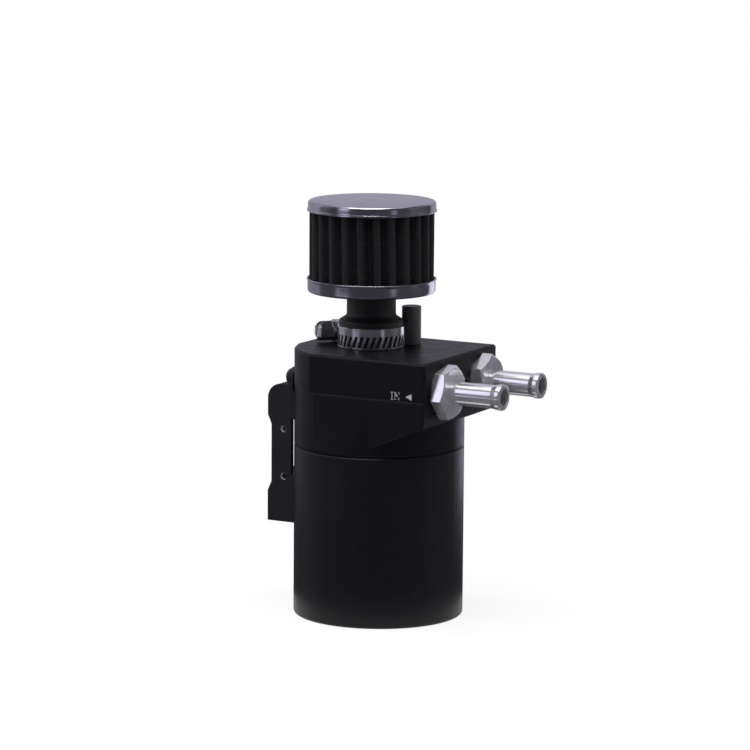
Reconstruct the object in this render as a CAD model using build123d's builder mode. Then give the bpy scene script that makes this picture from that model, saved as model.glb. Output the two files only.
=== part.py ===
"""Oil catch can: a turned bowl under a machined head, with two hose tails, a breather filter and a bracket.

The can's axis is Z and its base stands on Z = 0. The hose tails point along +X and the bracket is at -X.
All sizes are in millimetres.
"""
import os
from math import atan2, cos, degrees, pi, radians, sin, tan

from build123d import *

os.makedirs("parts", exist_ok=True)

# Clearances
fit = 0.05
running_fit = 0.1
thread_clearance = 0.3
seal_clearance = 0.15

# Bowl
bowl_radius = 34.0
bowl_height = 68.5
bowl_wall = 3.0
bowl_floor = 4.0
bowl_foot_round = 1.2
bowl_inner_round = 2.5
seam_bevel = 0.6

# O-ring between the bowl's rim and the head
bowl_seal_section = 1.5

# Head
spigot_length = 12.0
spigot_wall = 4.2
collar_height = 2.5
collar_side_angle = 55.0
ledge_height = 23.5
head_height = 39.0
side_flat_depth = 3.5
ledge_width = 1.2
front_overhang = 2.5
head_roof = 6.0
head_corner_round = 0.8
head_top_bevel = 0.8
overhang_height = 13.7
overhang_angle = 22.0

# Hose tails, screwed into the head's front
port_spacing = 33.0
port_height = 26.4
tail_shank_radius = 6.5
tail_shank_length = 12.0
tail_washer_radius = 9.2
tail_washer_thickness = 0.8
tail_hex_across_flats = 19.0
tail_hex_thickness = 5.0
tail_hex_bevel = 0.9
tail_neck_radius = 4.0
tail_neck_length = 1.8
tail_radius = 4.65
tail_length = 19.9
tail_bead_radius = 5.1
tail_bead_length = 2.0
tail_bore_radius = 3.5
tail_edge_round = 0.5
inlet_hex_turn = 12.0
outlet_hex_turn = 27.0

# Breather neck and filter, on an axis of their own
filter_x = -4.0
neck_shank_radius = 8.5
neck_radius = 9.5
neck_bore_radius = 7.0
neck_height = 11.0
boot_gap = 0.1
boot_sleeve_wall = 3.25
boot_waist_radius = 9.8
boot_waist_bore = 7.4
boot_taper_height = 2.2
boot_shoulder = 0.2
boot_waist_height = 8.8
cap_thickness = 0.6
lower_cap_radius = 25.3
lower_cap_height = 5.6
lower_cap_round = 1.2
lip_radius = 25.85
lip_height = 0.8
lip_flare = 0.35
upper_cap_height = 4.1
upper_cap_round = 0.9
pad_gap = 0.2
element_height = 27.2
element_radius = 24.9
pleat_count = 24
pleat_depth = 4.6
pleat_sheet = 2.0
pleat_turn = 3.3
support_radius = 16.0
support_wall = 0.6
support_hole_radius = 2.0
support_row_count = 5
support_hole_count = 12

# Worm drive clamp around the boot's sleeve
band_width = 8.4
band_thickness = 0.6
band_gap = 0.1
slot_count = 28
slot_width = 1.2
slot_length = 4.7
slot_drop = 1.25
slot_slant = -18.0
slot_span = 286.0
clamp_angle = 138.0
clamp_offset = 3.0
housing_length = 14.0
housing_depth = 6.4
housing_height = 8.6
housing_round = 1.6
housing_wall = 0.6
housing_end = 1.0
housing_saddle = 2.0
worm_neck_radius = 1.6
clamp_collar_radius = 4.1
clamp_collar_thickness = 1.2
clamp_hex_across_flats = 7.0
clamp_hex_length = 6.0
clamp_hex_turn = 26.0
clamp_hex_bevel = 0.8
clamp_slot_width = 1.2
clamp_slot_depth = 1.6
clamp_slot_turn = 70.0

# Dipstick
dipstick_x = 6.5
dipstick_y = 14.3
dipstick_knob_radius = 3.9
dipstick_knob_height = 15.3
dipstick_knob_bevel = 0.3
dipstick_shank_radius = 2.5
dipstick_shank_length = 9.0
dipstick_rod_radius = 1.5
dipstick_rod_grip = 6.0
dipstick_rod_clear = 3.0
dipstick_seal_section = 0.9
dipstick_seal_depth = 1.2

# Baffle plate under the spigot, and the mesh pad that lies on it
baffle_thickness = 1.2
baffle_rim_gap = 0.5
baffle_hole_radius = 1.6
baffle_ring_spacing = 7.0
baffle_ring_count = 3
first_ring_hole_count = 6
baffle_rod_hole = 2.2
baffle_screw_count = 3
baffle_screw_radius = 1.25
baffle_screw_length = 7.0
baffle_screw_head_radius = 2.0
baffle_screw_head_height = 1.6
mesh_pad_thickness = 12.0
mesh_pad_gap = 0.2

# Bracket
bracket_half_width = 12.0
bracket_thickness = 12.3
bracket_relief = 1.7
bracket_drop = 33.6
bracket_rise = 22.5
bracket_top_round = 6.0
bracket_foot_round = 1.6
foot_height = 12.3
upper_pad_height = 12.8
step_rise = 3.8
back_flat_depth = 1.8
plate_inset = 1.5
side_plate_thickness = 1.4
web_thickness = 2.8
web_width = 13.0
foot_gap = 0.4
foot_pad_height = 19.5
relief_rise = 8.5
lug_radius = 4.0
lug_thickness = 2.0
bracket_screw_half_spacing = 9.5
bracket_screw_rise = 3.0
bracket_screw_radius = 2.0
bracket_screw_length = 8.0
bracket_screw_head_radius = 3.5
bracket_screw_head_height = 2.5
bracket_socket_across_flats = 2.5
bracket_socket_depth = 1.5
mount_hole_spacing = 40.0
mount_hole_radius = 2.5
mount_hole_depth = 8.0
cross_hole_radius = 1.35
cross_hole_depth = 7.3
cross_hole_rise = 18.55
cross_hole_spacing = 19.35

# Heights and radii that follow from the sizes above
seam_z = bowl_height
spigot_z = seam_z - spigot_length
collar_z = seam_z + collar_height
ledge_z = seam_z + ledge_height
head_top_z = seam_z + head_height
roof_z = head_top_z - head_roof
port_z = seam_z + port_height
bowl_bore = bowl_radius - bowl_wall
spigot_radius = bowl_bore - thread_clearance
chamber_radius = spigot_radius - spigot_wall
head_front = bowl_radius + front_overhang
head_half_width = bowl_radius - side_flat_depth
lower_half_width = head_half_width + ledge_width
back_flat = bowl_radius - back_flat_depth
bracket_back = back_flat + bracket_thickness
bracket_bottom = seam_z - bracket_drop
bracket_top = seam_z + bracket_rise
bracket_screw_z = bracket_top + bracket_screw_rise
relief_top = seam_z + relief_rise
filter_axis = Axis((filter_x, 0, 0), (0, 0, 1))
filter_plane = Plane(origin=(filter_x, 0, 0), x_dir=(1, 0, 0), z_dir=(0, -1, 0))

# The O-ring lies on a step turned in the bowl's rim
seal_step = bowl_seal_section + 2 * seal_clearance
seal_step_radius = spigot_radius + seal_step
seal_step_z = seam_z - seal_step

with BuildPart() as bowl:
    with BuildSketch(Plane.XZ):
        with BuildLine():
            Polyline(
                (0, 0),
                (bowl_radius, 0),
                (bowl_radius, bowl_height - seam_bevel),
                (bowl_radius - seam_bevel, bowl_height),
                (seal_step_radius, bowl_height),
                (seal_step_radius, seal_step_z),
                (bowl_bore, seal_step_z),
                (bowl_bore, bowl_floor),
                (0, bowl_floor),
                close=True,
            )
        make_face()
    revolve(axis=Axis.Z)
    foot_edge = bowl.edges().filter_by(GeomType.CIRCLE).group_by(Axis.Z)[0]
    fillet(foot_edge, bowl_foot_round)
    floor_face = bowl.faces().filter_by(Plane.XY).sort_by(Axis.Z)[1]
    fillet(floor_face.edges(), bowl_inner_round)
bowl.part.label = "bowl"
export_step(bowl.part, "parts/bowl.step")

with BuildPart() as bowl_o_ring:
    with BuildSketch(Plane.XZ):
        with Locations((spigot_radius + seal_step / 2, seam_z - seal_step / 2)):
            Circle(bowl_seal_section / 2)
    revolve(axis=Axis.Z)
bowl_o_ring.part.label = "bowl_o_ring"
export_step(bowl_o_ring.part, "parts/bowl_o_ring.step")

# Screw places on the spigot's end face and on the head's back
baffle_screw_circle = spigot_radius - spigot_wall / 2
back_screw_plane = Plane(origin=(-back_flat, 0, bracket_screw_z), x_dir=(0, 1, 0), z_dir=(-1, 0, 0))
overhang_z = seam_z + overhang_height
overhang_run = overhang_height / tan(radians(overhang_angle))

with BuildPart() as head:
    # Upper block: flat sides and front, round back
    with BuildSketch(Plane.XY.offset(ledge_z)) as upper_outline:
        Circle(bowl_radius)
        Rectangle(2 * bowl_radius, 2 * head_half_width, mode=Mode.INTERSECT)
        Rectangle(head_front, 2 * head_half_width, align=(Align.MIN, Align.CENTER))
        fillet(upper_outline.vertices().group_by(Axis.X)[-1], head_corner_round)
    extrude(amount=head_height - ledge_height)
    chamfer(head.faces().sort_by(Axis.Z)[-1].edges(), head_top_bevel)
    # Lower front block, wider than the upper one by the ledge, with an underside that rises to the front
    with BuildSketch(Plane.XY.offset(ledge_z)) as lower_outline:
        Rectangle(head_front, 2 * lower_half_width, align=(Align.MIN, Align.CENTER))
        fillet(lower_outline.vertices().group_by(Axis.X)[-1], head_corner_round)
    extrude(amount=-ledge_height)
    with BuildSketch(Plane.XZ):
        with BuildLine():
            Polyline(
                (head_front, seam_z),
                (head_front, overhang_z),
                (head_front - overhang_run, seam_z),
                close=True,
            )
        make_face()
    extrude(amount=lower_half_width, both=True, mode=Mode.SUBTRACT)
    # Sides that pass from the round collar to the flats under the ledge
    with BuildSketch(Plane.XY.offset(collar_z)):
        with BuildLine():
            CenterArc((0, 0), bowl_radius, -collar_side_angle, 2 * collar_side_angle)
            CenterArc((0, 0), bowl_radius, collar_side_angle, 180 - 2 * collar_side_angle)
            CenterArc((0, 0), bowl_radius, 180 - collar_side_angle, 2 * collar_side_angle)
            CenterArc((0, 0), bowl_radius, 180 + collar_side_angle, 180 - 2 * collar_side_angle)
        make_face()
    with BuildSketch(Plane.XY.offset(ledge_z)):
        Circle(bowl_radius)
        Rectangle(2 * bowl_radius, 2 * lower_half_width, mode=Mode.INTERSECT)
    loft(ruled=True)
    # Round collar on the seam, and the threaded spigot below it
    with BuildSketch(Plane.XZ):
        with BuildLine():
            Polyline(
                (0, spigot_z),
                (spigot_radius, spigot_z),
                (spigot_radius, seam_z),
                (bowl_radius - seam_bevel, seam_z),
                (bowl_radius, seam_z + seam_bevel),
                (bowl_radius, collar_z),
                (0, collar_z),
                close=True,
            )
        make_face()
    revolve(axis=Axis.Z)
    # Separation chamber, open below
    with BuildSketch(Plane.XY.offset(spigot_z)):
        Circle(chamber_radius)
    extrude(amount=roof_z - spigot_z, mode=Mode.SUBTRACT)
    # Ports in the front, neck and dipstick holes in the roof
    with BuildSketch(Plane.YZ.offset(head_front)):
        with Locations((-port_spacing / 2, port_z), (port_spacing / 2, port_z)):
            Circle(tail_shank_radius + fit)
    extrude(amount=-head_front, mode=Mode.SUBTRACT)
    with BuildSketch(Plane.XY.offset(head_top_z)):
        with Locations((filter_x, 0)):
            Circle(neck_shank_radius + fit)
        with Locations((dipstick_x, dipstick_y)):
            Circle(dipstick_shank_radius + running_fit)
    extrude(amount=-head_roof, mode=Mode.SUBTRACT)
    with BuildSketch(Plane.XY.offset(head_top_z)):
        with Locations((dipstick_x, dipstick_y)):
            Circle(dipstick_shank_radius + running_fit + dipstick_seal_section + seal_clearance)
    extrude(amount=-dipstick_seal_depth, mode=Mode.SUBTRACT)
    # Flat for the bracket on the back, with its two tapped holes
    with BuildSketch(Plane.XY.offset(relief_top)):
        with Locations((-back_flat, 0)):
            Rectangle(bowl_radius, 2 * bowl_radius, align=(Align.MAX, Align.CENTER))
    extrude(amount=head_top_z - relief_top, mode=Mode.SUBTRACT)
    with BuildSketch(back_screw_plane):
        with Locations((-bracket_screw_half_spacing, 0), (bracket_screw_half_spacing, 0)):
            Circle(bracket_screw_radius + fit)
    extrude(amount=-(bracket_screw_length - lug_thickness + fit), mode=Mode.SUBTRACT)
    # Tapped holes for the baffle's screws
    with BuildSketch(Plane.XY.offset(spigot_z)):
        with PolarLocations(baffle_screw_circle, baffle_screw_count):
            Circle(baffle_screw_radius + fit)
    extrude(amount=baffle_screw_length - baffle_thickness + fit, mode=Mode.SUBTRACT)
head.part.label = "head"
export_step(head.part, "parts/head.step")

# Hose tails with their sealing washers
hex_x = head_front + tail_washer_thickness
neck_x = hex_x + tail_hex_thickness
tail_x = neck_x + tail_neck_length
tail_end_x = tail_x + tail_length
for port_name, port_y, hex_turn in (
    ("inlet", -port_spacing / 2, inlet_hex_turn),
    ("outlet", port_spacing / 2, outlet_hex_turn),
):
    port_axis = Axis((0, port_y, port_z), (1, 0, 0))
    port_plane = Plane(origin=(0, port_y, port_z), x_dir=(1, 0, 0), z_dir=(0, -1, 0))
    port_face = Plane(origin=(0, port_y, port_z), x_dir=(0, 1, 0), z_dir=(1, 0, 0))
    with BuildPart() as washer:
        with BuildSketch(port_face.offset(head_front)):
            Circle(tail_washer_radius)
            Circle(tail_shank_radius + fit, mode=Mode.SUBTRACT)
        extrude(amount=tail_washer_thickness)
    washer.part.label = port_name + "_washer"
    export_step(washer.part, "parts/" + port_name + "_washer.step")

    with BuildPart() as fitting:
        with BuildSketch(port_face.offset(hex_x)):
            RegularPolygon(tail_hex_across_flats / 2, 6, major_radius=False, rotation=hex_turn)
        extrude(amount=tail_hex_thickness)
        # The hexagon's corners are turned off in a cone at its front
        corner_radius = tail_hex_across_flats / 2 / cos(pi / 6)
        with BuildSketch(port_plane):
            with BuildLine():
                Polyline(
                    (hex_x, 0),
                    (hex_x, corner_radius),
                    (neck_x - tail_hex_bevel, corner_radius),
                    (neck_x, corner_radius - tail_hex_bevel / tan(radians(30))),
                    (neck_x, 0),
                    close=True,
                )
            make_face()
        revolve(axis=port_axis, mode=Mode.INTERSECT)
        with BuildSketch(port_plane):
            with BuildLine():
                Polyline(
                    (hex_x - tail_washer_thickness - tail_shank_length, 0),
                    (hex_x - tail_washer_thickness - tail_shank_length, tail_shank_radius),
                    (hex_x, tail_shank_radius),
                    (hex_x, tail_neck_radius),
                    (tail_x, tail_neck_radius),
                    (tail_x, tail_radius),
                    (tail_end_x - 2 * tail_bead_length, tail_radius),
                    (tail_end_x - tail_bead_length, tail_bead_radius),
                    (tail_end_x, tail_bead_radius),
                    (tail_end_x, 0),
                    close=True,
                )
            make_face()
        revolve(axis=port_axis)
        end_edge = fitting.faces().sort_by(Axis.X)[-1].edges()
        fillet(end_edge, tail_edge_round)
        with BuildSketch(port_face.offset(tail_end_x)):
            Circle(tail_bore_radius)
        extrude(amount=-(tail_end_x - head_front + tail_shank_length), mode=Mode.SUBTRACT)
    fitting.part.label = port_name + "_fitting"
    export_step(fitting.part, "parts/" + port_name + "_fitting.step")

with BuildPart() as breather_neck:
    with BuildSketch(filter_plane):
        with BuildLine():
            Polyline(
                (neck_bore_radius, roof_z),
                (neck_shank_radius, roof_z),
                (neck_shank_radius, head_top_z),
                (neck_radius, head_top_z),
                (neck_radius, head_top_z + neck_height),
                (neck_bore_radius, head_top_z + neck_height),
                close=True,
            )
        make_face()
    revolve(axis=filter_axis)
breather_neck.part.label = "breather_neck"
export_step(breather_neck.part, "parts/breather_neck.step")

# Heights up the filter
boot_z = head_top_z + boot_gap
sleeve_top_z = head_top_z + neck_height
shoulder_z = sleeve_top_z + boot_shoulder
waist_z = sleeve_top_z + boot_taper_height
lower_cap_z = waist_z + boot_waist_height
lower_lip_z = lower_cap_z + lower_cap_height
element_z = lower_lip_z - pad_gap
element_top_z = element_z + element_height
upper_lip_z = element_top_z - pad_gap
upper_cap_z = upper_lip_z + upper_cap_height
sleeve_radius = neck_radius + fit + boot_sleeve_wall
skirt_radius = lip_radius - lip_flare
pad_radius = skirt_radius - cap_thickness - pad_gap
pad_foot_radius = lower_cap_radius - cap_thickness - pad_gap
pad_foot_z = lower_cap_z + cap_thickness + fit

with BuildPart() as filter_boot:
    with BuildSketch(filter_plane):
        with BuildLine():
            Polyline(
                (neck_radius + fit, boot_z),
                (sleeve_radius, boot_z),
                (sleeve_radius, sleeve_top_z),
                (boot_waist_radius, waist_z),
                (boot_waist_radius, pad_foot_z),
                (pad_foot_radius - lower_cap_round, pad_foot_z),
                (pad_foot_radius, pad_foot_z + lower_cap_round),
                (pad_radius, lower_lip_z - lip_height),
                (pad_radius, element_z),
                (boot_waist_bore, element_z),
                (boot_waist_bore, shoulder_z),
                (neck_radius + fit, shoulder_z),
                close=True,
            )
        make_face()
    revolve(axis=filter_axis)
filter_boot.part.label = "filter_boot"
export_step(filter_boot.part, "parts/filter_boot.step")

with BuildPart() as filter_lower_cap:
    with BuildSketch(filter_plane) as cap_outline:
        with BuildLine():
            Polyline(
                (boot_waist_radius + fit, lower_cap_z),
                (lower_cap_radius, lower_cap_z),
                (skirt_radius, lower_lip_z - lip_height),
                (lip_radius, lower_lip_z),
                (lip_radius - cap_thickness, lower_lip_z),
                (skirt_radius - cap_thickness, lower_lip_z - lip_height),
                (lower_cap_radius - cap_thickness, lower_cap_z + cap_thickness),
                (boot_waist_radius + fit, lower_cap_z + cap_thickness),
                close=True,
            )
        make_face()
        outer_foot = cap_outline.vertices().group_by(Axis.Y)[0].sort_by(Axis.X)[-1]
        fillet(outer_foot, lower_cap_round)
        inner_foot = cap_outline.vertices().group_by(Axis.Y)[1].sort_by(Axis.X)[-1]
        fillet(inner_foot, lower_cap_round - cap_thickness)
    revolve(axis=filter_axis)
filter_lower_cap.part.label = "filter_lower_cap"
export_step(filter_lower_cap.part, "parts/filter_lower_cap.step")

with BuildPart() as filter_element:
    with BuildSketch(Plane.XY.offset(element_z)):
        for shrink, sketch_mode in ((0, Mode.ADD), (pleat_sheet, Mode.SUBTRACT)):
            star = []
            for step in range(2 * pleat_count):
                radius = element_radius - shrink - (step % 2) * pleat_depth
                angle = step * pi / pleat_count + radians(pleat_turn)
                star.append((filter_x + radius * cos(angle), radius * sin(angle)))
            with BuildLine():
                Polyline(*star, close=True)
            make_face(mode=sketch_mode)
    extrude(amount=element_height)
filter_element.part.label = "filter_element"
export_step(filter_element.part, "parts/filter_element.step")

with BuildPart() as filter_support_tube:
    with BuildSketch(Plane.XY.offset(element_z)):
        with Locations((filter_x, 0)):
            Circle(support_radius)
            Circle(support_radius - support_wall, mode=Mode.SUBTRACT)
    extrude(amount=element_height)
    row_pitch = element_height / (support_row_count + 1)
    for row in range(support_row_count):
        with Locations((filter_x, 0, element_z + (row + 1) * row_pitch)):
            with PolarLocations(support_radius, support_hole_count):
                Cylinder(support_hole_radius, 4 * support_wall, rotation=(0, 90, 0), mode=Mode.SUBTRACT)
filter_support_tube.part.label = "filter_support_tube"
export_step(filter_support_tube.part, "parts/filter_support_tube.step")

with BuildPart() as filter_top_pad:
    with BuildSketch(Plane.XY.offset(element_top_z)):
        with Locations((filter_x, 0)):
            Circle(pad_radius)
    extrude(amount=upper_cap_z - cap_thickness - element_top_z)
filter_top_pad.part.label = "filter_top_pad"
export_step(filter_top_pad.part, "parts/filter_top_pad.step")

with BuildPart() as filter_top_cap:
    with BuildSketch(filter_plane):
        with BuildLine():
            Polyline(
                (0, upper_cap_z),
                (skirt_radius, upper_cap_z),
                (skirt_radius, upper_lip_z + lip_height),
                (lip_radius, upper_lip_z),
                (lip_radius - cap_thickness, upper_lip_z),
                (skirt_radius - cap_thickness, upper_lip_z + lip_height),
                (skirt_radius - cap_thickness, upper_cap_z - cap_thickness),
                (0, upper_cap_z - cap_thickness),
                close=True,
            )
        make_face()
    revolve(axis=filter_axis)
    fillet(filter_top_cap.faces().sort_by(Axis.Z)[-1].edges(), upper_cap_round)
filter_top_cap.part.label = "filter_top_cap"
export_step(filter_top_cap.part, "parts/filter_top_cap.step")

# Clamp: its worm screw runs beside the back of the band, with its head towards -X and -Y
band_z = boot_z + band_gap
band_mid_z = band_z + band_width / 2
band_inner = sleeve_radius + fit
band_outer = band_inner + band_thickness
worm_radius = housing_depth / 2 - housing_wall
clamp_out = Vector(1, 0, 0).rotate(Axis.Z, clamp_angle)
clamp_along = clamp_out.rotate(Axis.Z, 90)
screw_foot = Vector(filter_x, 0, band_mid_z) + clamp_out * (band_outer + housing_depth / 2)
screw_centre = screw_foot + clamp_along * clamp_offset
screw_axis = Axis(screw_centre, clamp_along)
screw_plane = Plane(origin=screw_centre, x_dir=clamp_along, z_dir=-clamp_out)
screw_face = Plane(origin=screw_centre, x_dir=-clamp_out, z_dir=clamp_along)
first_slot = clamp_angle - 180 - slot_span / 2

with BuildPart() as clamp_band:
    with BuildSketch(Plane.XY.offset(band_z)):
        with Locations((filter_x, 0)):
            Circle(band_outer)
            Circle(band_inner, mode=Mode.SUBTRACT)
    extrude(amount=band_width)
    with Locations((filter_x, 0, band_mid_z - slot_drop)):
        with PolarLocations(band_inner, slot_count, first_slot, slot_span, endpoint=True):
            slant = (slot_slant, 0, 0)
            Box(4 * band_thickness, slot_width, slot_length, rotation=slant, mode=Mode.SUBTRACT)
clamp_band.part.label = "clamp_band"
export_step(clamp_band.part, "parts/clamp_band.step")

with BuildPart() as clamp_housing:
    with BuildSketch(screw_face) as housing_outline:
        with Locations((-housing_depth / 2, 0)):
            Rectangle(housing_depth + housing_saddle, housing_height, align=(Align.MIN, Align.CENTER))
        fillet(housing_outline.vertices().group_by(Axis.X)[0], housing_round)
    extrude(amount=housing_length / 2, both=True)
    with BuildSketch(Plane.XY.offset(band_z - housing_height)):
        with Locations((filter_x, 0)):
            Circle(band_outer + fit)
    extrude(amount=3 * housing_height, mode=Mode.SUBTRACT)
    with BuildSketch(screw_plane):
        with BuildLine():
            Polyline(
                (-housing_length / 2, 0),
                (-housing_length / 2, worm_neck_radius + running_fit),
                (-housing_length / 2 + housing_end, worm_neck_radius + running_fit),
                (-housing_length / 2 + housing_end, worm_radius),
                (housing_length / 2 - housing_end, worm_radius),
                (housing_length / 2 - housing_end, worm_neck_radius + running_fit),
                (housing_length / 2, worm_neck_radius + running_fit),
                (housing_length / 2, 0),
                close=True,
            )
        make_face()
    revolve(axis=screw_axis, mode=Mode.SUBTRACT)
clamp_housing.part.label = "clamp_housing"
export_step(clamp_housing.part, "parts/clamp_housing.step")

worm_end = housing_length / 2 - housing_end - running_fit
clamp_collar = housing_length / 2 + running_fit
clamp_head = clamp_collar + clamp_collar_thickness
with BuildPart() as clamp_screw:
    with BuildSketch(screw_plane):
        with BuildLine():
            Polyline(
                (-housing_length / 2, 0),
                (-housing_length / 2, worm_neck_radius),
                (-worm_end, worm_neck_radius),
                (-worm_end, worm_radius - running_fit),
                (worm_end, worm_radius - running_fit),
                (worm_end, worm_neck_radius),
                (clamp_collar, worm_neck_radius),
                (clamp_collar, clamp_collar_radius),
                (clamp_head, clamp_collar_radius),
                (clamp_head, 0),
                close=True,
            )
        make_face()
    revolve(axis=screw_axis)
    with BuildSketch(screw_face.offset(clamp_head)):
        RegularPolygon(clamp_hex_across_flats / 2, 6, major_radius=False, rotation=clamp_hex_turn)
    extrude(amount=clamp_hex_length)
    chamfer(clamp_screw.faces().sort_by(screw_axis)[-1].edges(), clamp_hex_bevel)
    with BuildSketch(screw_face.offset(clamp_head + clamp_hex_length)):
        Rectangle(2 * clamp_hex_across_flats, clamp_slot_width, rotation=clamp_slot_turn)
    extrude(amount=-clamp_slot_depth, mode=Mode.SUBTRACT)
clamp_screw.part.label = "clamp_screw"
export_step(clamp_screw.part, "parts/clamp_screw.step")

# Dipstick: knob with a plain shank, a rod glued in the shank, and an O-ring that grips the shank
dipstick_axis = Axis((dipstick_x, dipstick_y, 0), (0, 0, 1))
dipstick_plane = Plane(origin=(dipstick_x, dipstick_y, 0), x_dir=(1, 0, 0), z_dir=(0, -1, 0))
shank_z = head_top_z - dipstick_shank_length
rod_top_z = shank_z + dipstick_rod_grip

with BuildPart() as dipstick_knob:
    with BuildSketch(dipstick_plane):
        with BuildLine():
            Polyline(
                (0, rod_top_z + fit),
                (dipstick_rod_radius + fit, rod_top_z + fit),
                (dipstick_rod_radius + fit, shank_z),
                (dipstick_shank_radius, shank_z),
                (dipstick_shank_radius, head_top_z),
                (dipstick_knob_radius, head_top_z),
                (dipstick_knob_radius, head_top_z + dipstick_knob_height),
                (0, head_top_z + dipstick_knob_height),
                close=True,
            )
        make_face()
    revolve(axis=dipstick_axis)
    chamfer(dipstick_knob.faces().sort_by(Axis.Z)[-1].edges(), dipstick_knob_bevel)
dipstick_knob.part.label = "dipstick_knob"
export_step(dipstick_knob.part, "parts/dipstick_knob.step")

with BuildPart() as dipstick_rod:
    with BuildSketch(Plane.XY.offset(bowl_floor + dipstick_rod_clear)):
        with Locations((dipstick_x, dipstick_y)):
            Circle(dipstick_rod_radius)
    extrude(amount=rod_top_z - bowl_floor - dipstick_rod_clear)
dipstick_rod.part.label = "dipstick_rod"
export_step(dipstick_rod.part, "parts/dipstick_rod.step")

with BuildPart() as dipstick_o_ring:
    with BuildSketch(dipstick_plane):
        ring_radius = dipstick_shank_radius + running_fit + dipstick_seal_section / 2
        with Locations((ring_radius, head_top_z - dipstick_seal_depth / 2)):
            Circle(dipstick_seal_section / 2)
    revolve(axis=dipstick_axis)
dipstick_o_ring.part.label = "dipstick_o_ring"
export_step(dipstick_o_ring.part, "parts/dipstick_o_ring.step")

# Baffle plate, its screws and the mesh pad; the hole rings leave a web on each side of the rod's hole
rod_angle = degrees(atan2(dipstick_y, dipstick_x))
with BuildPart() as baffle_plate:
    with BuildSketch(Plane.XY.offset(spigot_z)):
        Circle(spigot_radius - baffle_rim_gap)
        for ring in range(1, baffle_ring_count + 1):
            holes = ring * first_ring_hole_count
            with PolarLocations(ring * baffle_ring_spacing, holes, rod_angle - 180 / holes):
                Circle(baffle_hole_radius, mode=Mode.SUBTRACT)
        with Locations((dipstick_x, dipstick_y)):
            Circle(baffle_rod_hole, mode=Mode.SUBTRACT)
        with PolarLocations(baffle_screw_circle, baffle_screw_count):
            Circle(baffle_screw_radius + running_fit, mode=Mode.SUBTRACT)
    extrude(amount=-baffle_thickness)
baffle_plate.part.label = "baffle_plate"
export_step(baffle_plate.part, "parts/baffle_plate.step")

with BuildPart() as baffle_screws:
    with BuildSketch(Plane.XY.offset(spigot_z - baffle_thickness)):
        with PolarLocations(baffle_screw_circle, baffle_screw_count):
            Circle(baffle_screw_radius)
    extrude(amount=baffle_screw_length)
    with BuildSketch(Plane.XY.offset(spigot_z - baffle_thickness)):
        with PolarLocations(baffle_screw_circle, baffle_screw_count):
            Circle(baffle_screw_head_radius)
    extrude(amount=-baffle_screw_head_height)
baffle_screws.part.label = "baffle_screws"
export_step(baffle_screws.part, "parts/baffle_screws.step")

with BuildPart() as mesh_pad:
    with BuildSketch(Plane.XY.offset(spigot_z)):
        Circle(chamber_radius - mesh_pad_gap)
        with Locations((dipstick_x, dipstick_y)):
            Circle(baffle_rod_hole, mode=Mode.SUBTRACT)
    extrude(amount=mesh_pad_thickness)
mesh_pad.part.label = "mesh_pad"
export_step(mesh_pad.part, "parts/mesh_pad.step")

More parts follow.
